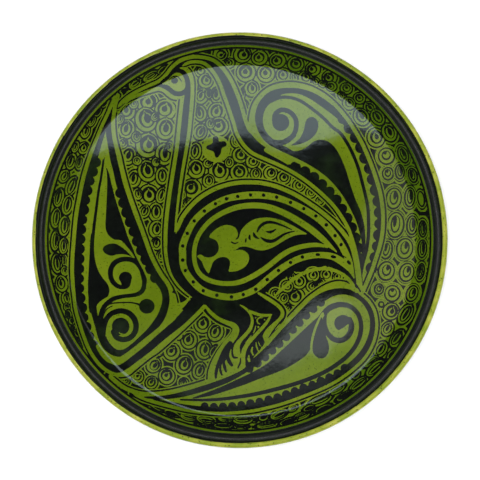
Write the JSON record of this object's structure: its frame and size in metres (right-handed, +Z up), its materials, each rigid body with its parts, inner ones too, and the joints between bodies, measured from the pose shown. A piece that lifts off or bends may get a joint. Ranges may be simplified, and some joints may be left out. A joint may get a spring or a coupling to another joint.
{
  "type": "ceramic dish",
  "caption": "Round shallow ceramic dish on a turned foot ring, green glazed, with black slip painting of a stylised bird, paisley plumes and scale filling.",
  "frame": {"origin": "middle of the resting plane, under the foot ring", "axes": "+Z up out of the painted face, along the dish's axis; +Y towards the top of the painting; +X towards its right side"},
  "size_m": [0.2998, 0.2998, 0.0291],
  "materials": {
    "clay": "matte",
    "green_glaze": "gloss",
    "lip_glaze": "gloss",
    "black_slip": "gloss"
  },
  "bodies": {
    "root": {"clay_body": "clay", "foot_ring": "clay", "inside_glaze": "green_glaze", "outside_glaze": "green_glaze", "lip_glaze": "lip_glaze", "rim_band": "black_slip", "ring_line": "black_slip", "left_plume": "black_slip", "left_plume_spirals": "black_slip", "upper_plume": "black_slip", "upper_plume_spiral": "black_slip", "lower_plume": "black_slip", "lower_plume_spiral": "black_slip", "bird_body": "black_slip", "bird_flower": "black_slip", "bird_neck": "black_slip", "bird_head": "black_slip", "bird_legs": "black_slip", "body_dots": "black_slip", "rosette": "black_slip", "scales_at_left_rim": "black_slip", "scales_by_neck": "black_slip", "scales_by_breast": "black_slip", "scales_at_right_rim": "black_slip", "scales_below_legs": "black_slip", "scales_by_tail": "black_slip"}
  },
  "joints": []
}
